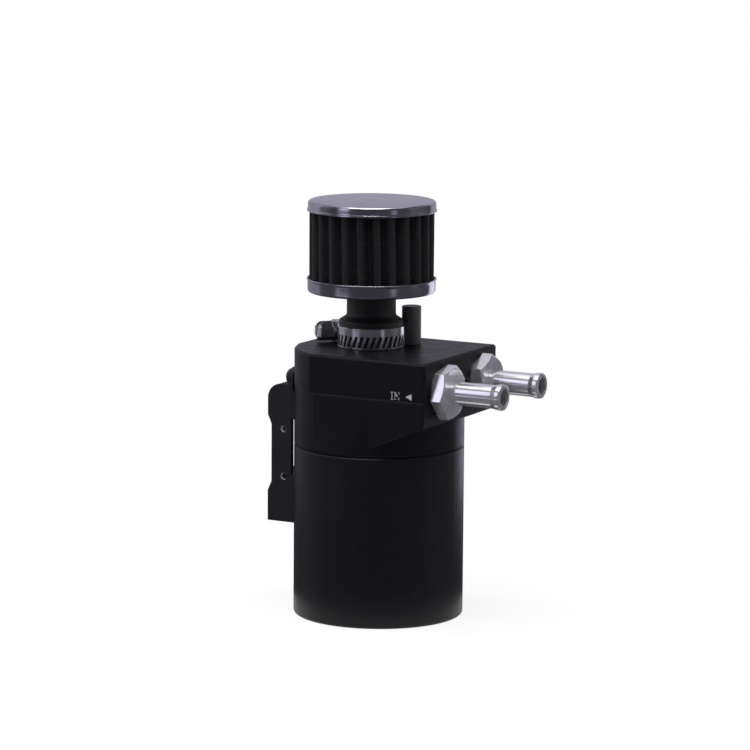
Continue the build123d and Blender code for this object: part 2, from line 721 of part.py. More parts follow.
# Bracket: two pads joined by a side plate and a web, screwed to the head by two lugs
relief_back = bracket_back - bracket_relief
web_front = relief_back - web_thickness
plate_edge = back_flat + plate_inset
relief_foot = bracket_bottom + foot_pad_height
plate_back = side_plate_thickness - bracket_half_width
web_end = web_width - bracket_half_width
foot_top = bracket_bottom + foot_height
upper_pad_bottom = bracket_top - upper_pad_height
with BuildPart() as bracket:
    with BuildSketch(Plane.XZ) as bracket_outline:
        with BuildLine():
            Polyline(
                (-back_flat, bracket_top),
                (-bracket_back, bracket_top),
                (-bracket_back, upper_pad_bottom),
                (-relief_back, upper_pad_bottom - step_rise),
                (-relief_back, foot_top + step_rise),
                (-bracket_back, foot_top),
                (-bracket_back, bracket_bottom),
                (0, bracket_bottom),
                (0, relief_top),
                (-back_flat, relief_top),
                close=True,
            )
        make_face()
        back_corners = bracket_outline.vertices().group_by(Axis.X)[0]
        fillet(back_corners.sort_by(Axis.Y)[-1], bracket_top_round)
        fillet(back_corners.sort_by(Axis.Y)[0], bracket_foot_round)
    extrude(amount=bracket_half_width, both=True)
    # The front is hollowed round the bowl
    with BuildSketch(Plane.XY.offset(bracket_bottom)):
        Circle(bowl_radius + foot_gap)
    extrude(amount=relief_top - bracket_bottom, mode=Mode.SUBTRACT)
    # Between the pads only the side plate and the web are left
    with BuildSketch(Plane.XY.offset(relief_foot)):
        with BuildLine():
            Polyline(
                (-plate_edge, -bracket_half_width),
                (-plate_edge, plate_back),
                (-web_front, plate_back),
                (-web_front, web_end),
                (-bracket_back, web_end),
                (-bracket_back, bracket_half_width),
                (0, bracket_half_width),
                (0, -bracket_half_width),
                close=True,
            )
        make_face()
    extrude(amount=relief_top - relief_foot, mode=Mode.SUBTRACT)
    # Lugs under the two screws
    lug_drop = bracket_screw_rise + lug_thickness
    with BuildSketch(back_screw_plane):
        with Locations((-bracket_screw_half_spacing, 0), (bracket_screw_half_spacing, 0)):
            Circle(lug_radius)
            Rectangle(2 * lug_radius, lug_drop, align=(Align.CENTER, Align.MIN))
    extrude(amount=lug_thickness)
    with BuildSketch(back_screw_plane):
        with Locations((-bracket_screw_half_spacing, 0), (bracket_screw_half_spacing, 0)):
            Circle(bracket_screw_radius + running_fit)
    extrude(amount=lug_thickness, mode=Mode.SUBTRACT)
    # Spot faces that the screw heads sink into
    with BuildSketch(back_screw_plane.offset(lug_thickness)):
        with Locations((-bracket_screw_half_spacing, 0), (bracket_screw_half_spacing, 0)):
            Circle(bracket_screw_head_radius + thread_clearance)
    extrude(amount=bracket_back, mode=Mode.SUBTRACT)
    # Tapped mounting holes in the pads, and two holes through the side plate
    mount_hole_z = bracket_bottom + foot_height / 2
    for hole_z in (mount_hole_z, mount_hole_z + mount_hole_spacing):
        with Locations(Plane(origin=(-bracket_back, 0, hole_z), x_dir=(0, 1, 0), z_dir=(-1, 0, 0))):
            Hole(mount_hole_radius, mount_hole_depth)
    cross_hole_x = cross_hole_depth - bracket_back
    cross_hole_z = bracket_bottom + cross_hole_rise
    with BuildSketch(Plane.XZ.offset(bracket_half_width)):
        with Locations((cross_hole_x, cross_hole_z), (cross_hole_x, cross_hole_z + cross_hole_spacing)):
            Circle(cross_hole_radius)
    extrude(amount=-side_plate_thickness, mode=Mode.SUBTRACT)
bracket.part.label = "bracket"
export_step(bracket.part, "parts/bracket.step")

with BuildPart() as bracket_screws:
    with BuildSketch(back_screw_plane.offset(lug_thickness)):
        with Locations((-bracket_screw_half_spacing, 0), (bracket_screw_half_spacing, 0)):
            Circle(bracket_screw_head_radius)
    extrude(amount=bracket_screw_head_height)
    fillet(bracket_screws.edges().group_by(Axis.X)[0], bracket_screw_head_height - fit)
    with BuildSketch(back_screw_plane.offset(lug_thickness)):
        with Locations((-bracket_screw_half_spacing, 0), (bracket_screw_half_spacing, 0)):
            Circle(bracket_screw_radius)
    extrude(amount=-bracket_screw_length)
    with BuildSketch(back_screw_plane.offset(lug_thickness + bracket_screw_head_height)):
        with Locations((-bracket_screw_half_spacing, 0), (bracket_screw_half_spacing, 0)):
            RegularPolygon(bracket_socket_across_flats / 2, 6, major_radius=False)
    extrude(amount=-bracket_socket_depth, mode=Mode.SUBTRACT)
bracket_screws.part.label = "bracket_screws"
export_step(bracket_screws.part, "parts/bracket_screws.step")
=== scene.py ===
"""Dresses the oil catch can: finishes for its solids, and the pieces that are finer than the solids are."""
import logging
import math
import random
from dataclasses import dataclass, field
from enum import Enum
from typing import Iterable, Sequence

import bmesh
import bpy
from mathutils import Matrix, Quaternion, Vector


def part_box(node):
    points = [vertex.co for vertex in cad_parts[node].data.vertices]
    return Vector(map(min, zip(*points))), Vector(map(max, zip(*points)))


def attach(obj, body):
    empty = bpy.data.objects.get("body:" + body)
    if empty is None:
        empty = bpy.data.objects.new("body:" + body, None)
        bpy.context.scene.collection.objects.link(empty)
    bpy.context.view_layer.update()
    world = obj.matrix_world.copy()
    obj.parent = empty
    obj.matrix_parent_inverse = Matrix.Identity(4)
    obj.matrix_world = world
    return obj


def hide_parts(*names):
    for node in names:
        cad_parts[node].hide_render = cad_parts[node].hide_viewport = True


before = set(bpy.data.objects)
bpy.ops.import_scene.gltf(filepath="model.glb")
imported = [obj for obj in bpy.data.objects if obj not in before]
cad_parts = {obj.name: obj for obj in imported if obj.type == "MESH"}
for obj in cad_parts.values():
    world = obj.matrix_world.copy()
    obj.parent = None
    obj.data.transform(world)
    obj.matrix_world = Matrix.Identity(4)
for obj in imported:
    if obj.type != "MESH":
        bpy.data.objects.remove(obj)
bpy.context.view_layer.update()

MM = 0.001
LOG = logging.getLogger("catch_can")

Colour = tuple[float, float, float]
Point = tuple[float, float]


class Body(Enum):
    """The bodies that new pieces ride on."""

    CAN = "body"


class Socket(Enum):
    """The kinds of socket that the shared effects take and give."""

    VALUE = "NodeSocketFloat"
    VECTOR = "NodeSocketVector"


class Texture(Enum):
    """What gives a finish its relief."""

    TURNED = "turned"
    GRAIN = "grain"
    GAUZE = "gauze"
    KNIT = "knit"


class Graph:
    """A node tree with short ways to add and join nodes."""

    MIX_COLOURS = (6, 7)
    MIX_RESULT = 2

    def __init__(self, tree: bpy.types.NodeTree) -> None:
        """Keeps the tree that is written to."""
        self.tree = tree

    def add(self, kind: str, settings: dict | None = None, **values: object) -> bpy.types.Node:
        """Adds a node.

        Args:
            kind: The node's type without the ShaderNode prefix.
            settings: Properties of the node itself.
            **values: Values or output sockets for its inputs, with spaces in their names as underscores.

        Returns:
            The new node.
        """
        node = self.tree.nodes.new("ShaderNode" + kind)
        for name, value in (settings or {}).items():
            setattr(node, name, value)
        for name, value in values.items():
            self.feed(node.inputs[name.replace("_", " ")], value)
        return node

    def feed(self, socket: bpy.types.NodeSocket, value: object) -> None:
        """Joins an output to a socket, or sets its value.

        Args:
            socket: The socket that takes the value.
            value: An output socket, or a plain value.
        """
        if isinstance(value, bpy.types.NodeSocket):
            self.tree.links.new(value, socket)
        else:
            socket.default_value = value

    def math(self, operation: str, first: object, second: object = 0.0) -> bpy.types.NodeSocket:
        """Works out a sum on one or two values.

        Args:
            operation: The sum, in Blender's word for it.
            first: The first value or socket.
            second: The second value or socket.

        Returns:
            The socket with the result.
        """
        node = self.add("Math", {"operation": operation})
        self.feed(node.inputs[0], first)
        self.feed(node.inputs[1], second)
        return node.outputs[0]

    def vector(self, operation: str, first: object, second: object) -> bpy.types.Node:
        """Works out a sum on two vectors.

        Args:
            operation: The sum, in Blender's word for it.
            first: The first vector or socket.
            second: The second vector or socket.

        Returns:
            The node, which has a vector and a value for results.
        """
        node = self.add("VectorMath", {"operation": operation})
        self.feed(node.inputs[0], first)
        self.feed(node.inputs[1], second)
        return node

    def noise(self, place: object, scale: object, detail: float = 2.0) -> bpy.types.NodeSocket:
        """Gives a soft random value that changes with the place."""
        return self.add("TexNoise", Vector=place, Scale=scale, Detail=detail).outputs["Fac"]

    def mix_colour(self, share: object, first: object, second: object) -> bpy.types.NodeSocket:
        """Mixes two colours.

        Args:
            share: The second colour's share.
            first: The first colour or socket.
            second: The second colour or socket.

        Returns:
            The socket with the mixed colour.
        """
        node = self.add("Mix", {"data_type": "RGBA"})
        self.feed(node.inputs[0], share)
        for place, colour in zip(self.MIX_COLOURS, (first, second)):
            self.feed(node.inputs[place], colour)
        return node.outputs[self.MIX_RESULT]


class Effects:
    """The effects that several finishes share, each a node group that is built once."""

    CLOUD_SPAN = (0.3, 0.7)
    WIRE_SPAN = (0.2, 0.8)
    EDGE_SPAN = (0.98, 0.75)

    def __init__(self) -> None:
        """Builds the groups."""
        self.mottle = self._mottle()
        self.turning = self._turning()
        self.grain = self._grain()
        self.wires = self._wires()
        self.soft_edges = self._soft_edges()

    @staticmethod
    def _group(
        name: str, inputs: dict[str, tuple[Socket, object]], outputs: dict[str, Socket]
    ) -> tuple[bpy.types.NodeTree, Graph, dict[str, bpy.types.NodeSocket], bpy.types.Node]:
        """Starts a node group.

        Args:
            name: The group's name.
            inputs: Each input's kind and first value.
            outputs: Each output's kind.

        Returns:
            The group, its graph, its input sockets by name and its output node.
        """
        tree = bpy.data.node_groups.new(name, "ShaderNodeTree")
        for label, (kind, value) in inputs.items():
            socket = tree.interface.new_socket(name=label, in_out="INPUT", socket_type=kind.value)
            socket.default_value = value
        for label, kind in outputs.items():
            tree.interface.new_socket(name=label, in_out="OUTPUT", socket_type=kind.value)
        entry = tree.nodes.new("NodeGroupInput")
        leave = tree.nodes.new("NodeGroupOutput")
        return tree, Graph(tree), {s.name: s for s in entry.outputs if s.name}, leave

    def _mottle(self) -> bpy.types.NodeTree:
        """Builds a cloudy change over a surface, between two values.

        Returns:
            The group.
        """
        tree, graph, given, leave = self._group(
            "surface_mottle",
            {
                "Scale": (Socket.VALUE, 60.0),
                "Low": (Socket.VALUE, 0.0),
                "High": (Socket.VALUE, 1.0),
            },
            {"Value": Socket.VALUE},
        )
        place = graph.add("TexCoord").outputs["Object"]
        cloud = graph.noise(place, given["Scale"], detail=4.0)
        ranged = graph.add(
            "MapRange",
            Value=cloud,
            From_Min=self.CLOUD_SPAN[0],
            From_Max=self.CLOUD_SPAN[1],
            To_Min=given["Low"],
            To_Max=given["High"],
        )
        graph.feed(leave.inputs["Value"], ranged.outputs["Result"])
        return tree

    def _turning(self) -> bpy.types.NodeTree:
        """Builds the fine rings that a lathe leaves, round any axis.

        Returns:
            The group.
        """
        tree, graph, given, leave = self._group(
            "turning_rings",
            {
                "Centre": (Socket.VECTOR, (0.0, 0.0, 0.0)),
                "Axis": (Socket.VECTOR, (0.0, 0.0, 1.0)),
                "Rings per Metre": (Socket.VALUE, 2500.0),
            },
            {"Height": Socket.VALUE},
        )
        place = graph.add("TexCoord").outputs["Object"]
        arm = graph.vector("SUBTRACT", place, given["Centre"]).outputs["Vector"]
        along = graph.vector("DOT_PRODUCT", arm, given["Axis"]).outputs["Value"]
        out = graph.vector("CROSS_PRODUCT", arm, given["Axis"]).outputs["Vector"]
        radius = graph.add("VectorMath", {"operation": "LENGTH"}, Vector=out).outputs["Value"]
        feed = graph.math("MULTIPLY", graph.math("ADD", along, radius), given["Rings per Metre"])
        rings = graph.add("TexNoise", {"noise_dimensions": "1D"}, W=feed, Scale=1.0, Detail=2.0)
        graph.feed(leave.inputs["Height"], rings.outputs["Fac"])
        return tree

    def _grain(self) -> bpy.types.NodeTree:
        """Builds the fine even grain of a blasted, moulded or plated skin.

        Returns:
            The group.
        """
        tree, graph, given, leave = self._group(
            "fine_grain", {"Scale": (Socket.VALUE, 2500.0)}, {"Height": Socket.VALUE}
        )
        place = graph.add("TexCoord").outputs["Object"]
        graph.feed(leave.inputs["Height"], graph.noise(place, given["Scale"], detail=3.0))
        return tree

    def _wires(self) -> bpy.types.NodeTree:
        """Builds the crossed wires of a gauze or a knit, over a map in millimetres.

        Returns:
            The group.
        """
        tree, graph, given, leave = self._group(
            "crossed_wires",
            {
                "Place": (Socket.VECTOR, (0.0, 0.0, 0.0)),
                "Pitch": (Socket.VALUE, 1.2),
                "Wander": (Socket.VALUE, 0.0),
            },
            {"Height": Socket.VALUE, "Wire": Socket.VALUE},
        )
        shift = graph.noise(given["Place"], 1.0)
        moved = graph.add("VectorMath", {"operation": "SCALE"}, Scale=given["Wander"])
        graph.feed(moved.inputs[0], shift)
        bent = graph.vector("ADD", given["Place"], moved.outputs["Vector"]).outputs["Vector"]
        parts = graph.add("SeparateXYZ", Vector=bent)
        turn = graph.math("DIVIDE", 2 * math.pi, given["Pitch"])
        waves = [
            graph.math("COSINE", graph.math("MULTIPLY", parts.outputs[axis], turn)) for axis in ("X", "Y")
        ]
        height = graph.math("MAXIMUM", *waves)
        graph.feed(leave.inputs["Height"], height)
        thin, full = self.WIRE_SPAN
        wire = graph.add("MapRange", Value=height, From_Min=thin, From_Max=full)
        graph.feed(leave.inputs["Wire"], wire.outputs["Result"])
        return tree

    def _soft_edges(self) -> bpy.types.NodeTree:
        """Builds normals that round an edge off, and a mask of the edges.

        Returns:
            The group.
        """
        tree, graph, given, leave = self._group(
            "soft_edges",
            {"Radius": (Socket.VALUE, 0.0003)},
            {"Normal": Socket.VECTOR, "Edge": Socket.VALUE},
        )
        rounded = graph.add("Bevel", {"samples": 4}, Radius=given["Radius"]).outputs["Normal"]
        flat = graph.add("NewGeometry").outputs["Normal"]
        agree = graph.vector("DOT_PRODUCT", rounded, flat).outputs["Value"]
        # The edge mask places the edge colour, which is partly wear and partly a painted highlight.
        plain, full_wear_and_highlight = self.EDGE_SPAN
        edge = graph.add("MapRange", Value=agree, From_Min=plain, From_Max=full_wear_and_highlight)
        graph.feed(leave.inputs["Normal"], rounded)
        graph.feed(leave.inputs["Edge"], edge.outputs["Result"])
        return tree


@dataclass(frozen=True)
class Finish:
    """One surface finish.

    Colour and roughness each run between two values over the surface; in a gauze or a knit the second colour
    also fills the spaces between the wires as painted shade. Edge is the colour laid on edges, partly wear
    and partly a painted highlight where an edge catches light. Relief is the depth of the texture in metres,
    and pitch is its size.
    """

    name: str
    colour: Colour
    colour_far: Colour
    edge: Colour
    metallic: float
    roughness: tuple[float, float]
    texture: Texture
    relief: float
    pitch: float
    edge_radius: float = 0.0003
    edge_share: float = 0.35
    specular: float = 0.5
    centre: tuple[float, float, float] = (0.0, 0.0, 0.0)
    axis: tuple[float, float, float] = (0.0, 0.0, 1.0)


class FinishShop:
    """Makes each finish's material once, from the shared effects."""

    TONE_CLOUDS = 90.0
    ROUGHNESS_CLOUDS = 220.0
    KNIT_WANDER = 2.0

    def __init__(self, effects: Effects) -> None:
        """Keeps the effects and starts with no materials."""
        self.effects = effects
        self.made: dict[str, bpy.types.Material] = {}

    def material(self, finish: Finish) -> bpy.types.Material:
        """Gives a finish's material.

        Args:
            finish: The finish.

        Returns:
            Its material, built on the first call.
        """
        if finish.name not in self.made:
            self.made[finish.name] = self._build(finish)
        return self.made[finish.name]

    def _build(self, finish: Finish) -> bpy.types.Material:
        """Builds the node tree of one finish.

        Args:
            finish: The finish.

        Returns:
            Its material.
        """
        material = bpy.data.materials.new(finish.name)
        material.use_nodes = True
        material.node_tree.nodes.clear()
        graph = Graph(material.node_tree)
        shader = graph.add("BsdfPrincipled")
        output = graph.add("OutputMaterial", Surface=shader.outputs["BSDF"])
        output.is_active_output = True
        shader.inputs["Metallic"].default_value = finish.metallic
        shader.inputs["Specular IOR Level"].default_value = finish.specular
        edges = self._place(graph, self.effects.soft_edges, Radius=finish.edge_radius)
        cloud = self._place(graph, self.effects.mottle, Scale=self.TONE_CLOUDS)
        tone = graph.mix_colour(cloud.outputs["Value"], (*finish.colour, 1), (*finish.colour_far, 1))
        # Edges take the edge colour: partly wear, partly a painted highlight where an edge catches light.
        edge_wear_and_highlight = graph.math("MULTIPLY", edges.outputs["Edge"], finish.edge_share)
        height, tone = self._relief(graph, finish, tone)
        graph.feed(shader.inputs["Base Color"], graph.mix_colour(edge_wear_and_highlight, tone, (*finish.edge, 1)))
        low, high = finish.roughness
        rough = self._place(
            graph, self.effects.mottle, Scale=self.ROUGHNESS_CLOUDS, Low=low, High=high
        )
        graph.feed(shader.inputs["Roughness"], rough.outputs["Value"])
        bump = graph.add("Bump", Distance=finish.relief, Height=height, Normal=edges.outputs["Normal"])
        graph.feed(shader.inputs["Normal"], bump.outputs["Normal"])
        return material

    def _relief(
        self, graph: Graph, finish: Finish, tone: bpy.types.NodeSocket
    ) -> tuple[bpy.types.NodeSocket, bpy.types.NodeSocket]:
        """Places the finish's texture.

        Args:
            graph: The material's graph.
            finish: The finish.
            tone: The colour under the texture.

        Returns:
            The texture's height, and the colour with what the texture does to it.
        """
        if finish.texture is Texture.TURNED:
            node = self._place(
                graph,
                self.effects.turning,
                Centre=finish.centre,
                Axis=finish.axis,
                Rings_per_Metre=1 / finish.pitch,
            )
            return node.outputs["Height"], tone
        if finish.texture is Texture.GRAIN:
            node = self._place(graph, self.effects.grain, Scale=1 / finish.pitch)
            return node.outputs["Height"], tone
        place, wander = self._wire_place(graph, finish)
        node = self._place(
            graph, self.effects.wires, Place=place, Pitch=finish.pitch / MM, Wander=wander
        )
        # The spaces between the wires take the second colour, a painted shade where the weave opens onto the
        # dark inside.
        wires_on_gap_shade = graph.mix_colour(node.outputs["Wire"], (*finish.colour_far, 1), tone)
        return node.outputs["Height"], wires_on_gap_shade

    def _wire_place(self, graph: Graph, finish: Finish) -> tuple[bpy.types.NodeSocket, float]:
        """Finds where the wires of a gauze or a knit run.

        Args:
            graph: The material's graph.
            finish: The finish.

        Returns:
            The map that the wires follow, in millimetres, and how far they stray from it.
        """
        if finish.texture is Texture.GAUZE:
            return graph.add("UVMap", {"uv_map": PleatedElement.MAP}).outputs["UV"], 0.0
        scaled = graph.add("VectorMath", {"operation": "SCALE"}, Scale=1 / MM)
        graph.feed(scaled.inputs[0], graph.add("TexCoord").outputs["Object"])
        return scaled.outputs["Vector"], self.KNIT_WANDER

    @staticmethod
    def _place(graph: Graph, group: bpy.types.NodeTree, **values: object) -> bpy.types.Node:
        """Places a shared effect.

        Args:
            graph: The material's graph.
            group: The effect.
            **values: Values or sockets for its inputs, with spaces in their names as underscores.

        Returns:
            The group's node.
        """
        node = graph.tree.nodes.new("ShaderNodeGroup")
        node.node_tree = group
        for name, value in values.items():
            graph.feed(node.inputs[name.replace("_", " ")], value)
        return node


BLACK = (0.0042, 0.004, 0.0056)
BLACK_FAR = (0.005, 0.0048, 0.0066)
# Edge colour of the black finishes: partly wear, partly a painted highlight.
BLACK_EDGE_WEAR_AND_HIGHLIGHT = (0.016, 0.016, 0.019)

BLACK_TURNED = Finish(
    "black_anodised_turned", BLACK, BLACK_FAR, BLACK_EDGE_WEAR_AND_HIGHLIGHT,
    metallic=0.0, roughness=(0.36, 0.42), texture=Texture.TURNED, relief=2.0e-6, pitch=0.0005,
    specular=0.24,
)
# The head's wider, lighter edges are mostly a painted highlight along its ledge and edges.
BLACK_MILLED = Finish(
    "black_anodised_milled", BLACK, BLACK_FAR, (0.03, 0.029, 0.034),
    metallic=0.0, roughness=(0.34, 0.42), texture=Texture.GRAIN, relief=3.0e-6, pitch=0.0004,
    edge_radius=0.0006, edge_share=0.6, specular=0.11,
)
BLACK_BRACKET = Finish(
    "bracket_black", (0.0085, 0.0082, 0.0105), (0.0105, 0.0102, 0.0125), (0.03, 0.03, 0.034),
    metallic=0.0, roughness=(0.38, 0.46), texture=Texture.GRAIN, relief=6.0e-6, pitch=0.0005,
    specular=0.25,
)
# Black anodising given a lighter colour: painted light standing in for the light the knob catches.
BLACK_KNOB_PAINTED_LIGHTER = Finish(
    "black_anodised_knob_painted_lighter", (0.05, 0.049, 0.055), (0.056, 0.055, 0.061), (0.11, 0.11, 0.115),
    metallic=0.0, roughness=(0.4, 0.46), texture=Texture.GRAIN, relief=3.0e-6, pitch=0.0004,
    specular=0.35,
)
BLACK_OXIDE = Finish(
    "black_oxide", (0.07, 0.07, 0.074), (0.09, 0.09, 0.094), (0.2, 0.2, 0.2),
    metallic=1.0, roughness=(0.16, 0.22), texture=Texture.GRAIN, relief=4.0e-6, pitch=0.0005,
)
PLATED = Finish(
    "plated_cap", (0.38, 0.37, 0.405), (0.42, 0.41, 0.445), (0.7, 0.69, 0.71),
    metallic=1.0, roughness=(0.15, 0.22), texture=Texture.GRAIN, relief=2.0e-6, pitch=0.0006,
)
STEEL = Finish(
    "bright_steel", (0.55, 0.55, 0.56), (0.62, 0.62, 0.63), (0.8, 0.8, 0.8),
    metallic=1.0, roughness=(0.16, 0.24), texture=Texture.GRAIN, relief=3.0e-6, pitch=0.0006,
)
CLAMP_STEEL = Finish(
    "clamp_steel", (0.55, 0.55, 0.56), (0.62, 0.62, 0.63), (0.9, 0.9, 0.91),
    metallic=1.0, roughness=(0.26, 0.34), texture=Texture.GRAIN, relief=3.0e-6, pitch=0.0006,
)
ALUMINIUM = Finish(
    "plain_aluminium", (0.68, 0.68, 0.70), (0.74, 0.74, 0.76), (0.85, 0.85, 0.86),
    metallic=1.0, roughness=(0.28, 0.36), texture=Texture.GRAIN, relief=4.0e-6, pitch=0.0004,
)
RUBBER = Finish(
    "black_rubber", (0.0065, 0.0063, 0.008), (0.008, 0.0078, 0.0095), (0.011, 0.011, 0.0125),
    metallic=0.0, roughness=(0.5, 0.6), texture=Texture.GRAIN, relief=1.2e-5, pitch=0.0006,
    specular=0.3,
)
# The second colour is also painted shade in the spaces between the wires.
GAUZE = Finish(
    "filter_gauze", (0.0105, 0.0102, 0.0135), (0.0065, 0.0063, 0.0082), (0.011, 0.011, 0.0135),
    metallic=0.0, roughness=(0.6, 0.72), texture=Texture.GAUZE, relief=8.0e-5, pitch=0.0011,
    specular=0.2, edge_share=0.1,
)
BARE = Finish(
    "bare_wall", (0.42, 0.42, 0.43), (0.5, 0.5, 0.51), (0.6, 0.6, 0.61),
    metallic=0.0, roughness=(0.4, 0.5), texture=Texture.GRAIN, relief=3.0e-6, pitch=0.0004,
    edge_radius=5.0e-6,
)
# The second colour is also painted shade in the spaces between the wires.
KNIT = Finish(
    "wire_knit", (0.62, 0.62, 0.64), (0.12, 0.12, 0.13), (0.7, 0.7, 0.72),
    metallic=1.0, roughness=(0.25, 0.35), texture=Texture.KNIT, relief=3.0e-4, pitch=0.0016,
)
PRINT = Finish(
    "white_marking", (0.32, 0.32, 0.33), (0.36, 0.36, 0.37), (0.36, 0.36, 0.37),
    metallic=0.0, roughness=(0.5, 0.6), texture=Texture.GRAIN, relief=2.0e-6, pitch=0.0004,
    edge_radius=5.0e-6,
)


def tail_finish(name: str, node: str) -> Finish:
    """Gives the bright turned finish of a hose tail.

    Args:
        name: The finish's name.
        node: The hose tail's node, whose middle the lathe's axis passes through.

    Returns:
        The finish.
    """
    low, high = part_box(node)
    middle = (low + high) / 2
    return Finish(
        name, (0.80, 0.80, 0.83), (0.84, 0.84, 0.87), (0.94, 0.94, 0.95),
        metallic=0.9, roughness=(0.16, 0.21), texture=Texture.TURNED, relief=4.0e-6, pitch=0.0004,
        centre=tuple(middle), axis=(1.0, 0.0, 0.0),
    )


NODE_FINISHES: dict[str, Finish] = {
    "bowl": BLACK_TURNED,
    "bowl_o_ring": RUBBER,
    "head": BLACK_MILLED,
    "inlet_fitting": tail_finish("bright_inlet", "inlet_fitting"),
    "outlet_fitting": tail_finish("bright_outlet", "outlet_fitting"),
    "inlet_washer": ALUMINIUM,
    "outlet_washer": ALUMINIUM,
    "breather_neck": ALUMINIUM,
    "filter_boot": RUBBER,
    "filter_lower_cap": PLATED,
    "filter_element": GAUZE,
    "filter_support_tube": STEEL,
    "filter_top_pad": RUBBER,
    "filter_top_cap": PLATED,
    "clamp_band": STEEL,
    "clamp_housing": CLAMP_STEEL,
    "clamp_screw": CLAMP_STEEL,
    "dipstick_knob": BLACK_KNOB_PAINTED_LIGHTER,
    "dipstick_rod": STEEL,
    "dipstick_o_ring": RUBBER,
    "baffle_plate": ALUMINIUM,
    "baffle_screws": STEEL,
    "mesh_pad": KNIT,
    "bracket": BLACK_BRACKET,
    "bracket_screws": BLACK_OXIDE,
}


def new_piece(name: str, shape: bmesh.types.BMesh, smooth_below: float = 40.0) -> bpy.types.Object:
    """Makes an object of a finished mesh.

    Args:
        name: The piece's name.
        shape: The mesh in metres, in the can's frame. It is freed.
        smooth_below: Edges that turn by more than this angle in degrees stay sharp.

    Returns:
        The object, in the scene.
    """
    bmesh.ops.recalc_face_normals(shape, faces=shape.faces)
    mesh = bpy.data.meshes.new(name)
    shape.to_mesh(mesh)
    shape.free()
    mesh.shade_smooth()
    mesh.set_sharp_from_angle(angle=math.radians(smooth_below))
    piece = bpy.data.objects.new(name, mesh)
    bpy.context.scene.collection.objects.link(piece)
    return piece


def dress(piece: bpy.types.Object, material: bpy.types.Material) -> None:
    """Gives a piece one material all over."""
    piece.data.materials.clear()
    piece.data.materials.append(material)


@dataclass(frozen=True)
class Corner:
    """A corner of a turned profile, in millimetres, with the size of its rounding."""

    radius: float
    height: float
    rounding: float = 0.0


def rounded_profile(corners: Sequence[Corner], steps: int = 6, most: float = 0.48) -> list[Point]:
    """Rounds a closed profile's corners.

    Args:
        corners: The corners in order.
        steps: Points on each rounded corner, less one.
        most: The largest share of a side that a rounding takes up.

    Returns:
        The profile's points, in millimetres.
    """
    points: list[Point] = []
    for place, corner in enumerate(corners):
        here = Vector((corner.radius, corner.height))
        if not corner.rounding:
            points.append((here.x, here.y))
            continue
        before = corners[place - 1]
        after = corners[(place + 1) % len(corners)]
        arms = [Vector((other.radius, other.height)) - here for other in (before, after)]
        ends = [here + arm.normalized() * min(corner.rounding, most * arm.length) for arm in arms]
        for step in range(steps + 1):
            share = step / steps
            on_arc = ends[0].lerp(here, share).lerp(here.lerp(ends[1], share), share)
            points.append((on_arc.x, on_arc.y))
    return points


def lathe(profile: Sequence[Point], centre: Vector, sides: int = 160) -> bmesh.types.BMesh:
    """Turns a closed profile round an upright axis.

    Args:
        profile: Radii and heights in millimetres. Points on the axis become one vertex each.
        centre: A point on the axis, in metres.
        sides: Steps round the axis.

    Returns:
        The mesh, in metres.
    """
    shape = bmesh.new()
    rings: list[list[bmesh.types.BMVert]] = []
    for radius, height in profile:
        count = sides if radius else 1
        turns = [2 * math.pi * step / sides for step in range(count)]
        rings.append([
            shape.verts.new((
                centre.x + radius * MM * math.cos(turn),
                centre.y + radius * MM * math.sin(turn),
                height * MM,
            ))
            for turn in turns
        ])
    for place, ring in enumerate(rings):
        other = rings[(place + 1) % len(rings)]
        if len(ring) == 1 and len(other) == 1:
            continue
        for step in range(sides):
            after = (step + 1) % sides
            loop = [ring[step % len(ring)], ring[after % len(ring)]]
            loop += [other[after % len(other)], other[step % len(other)]]
            shape.faces.new(list(dict.fromkeys(loop)))
    return shape


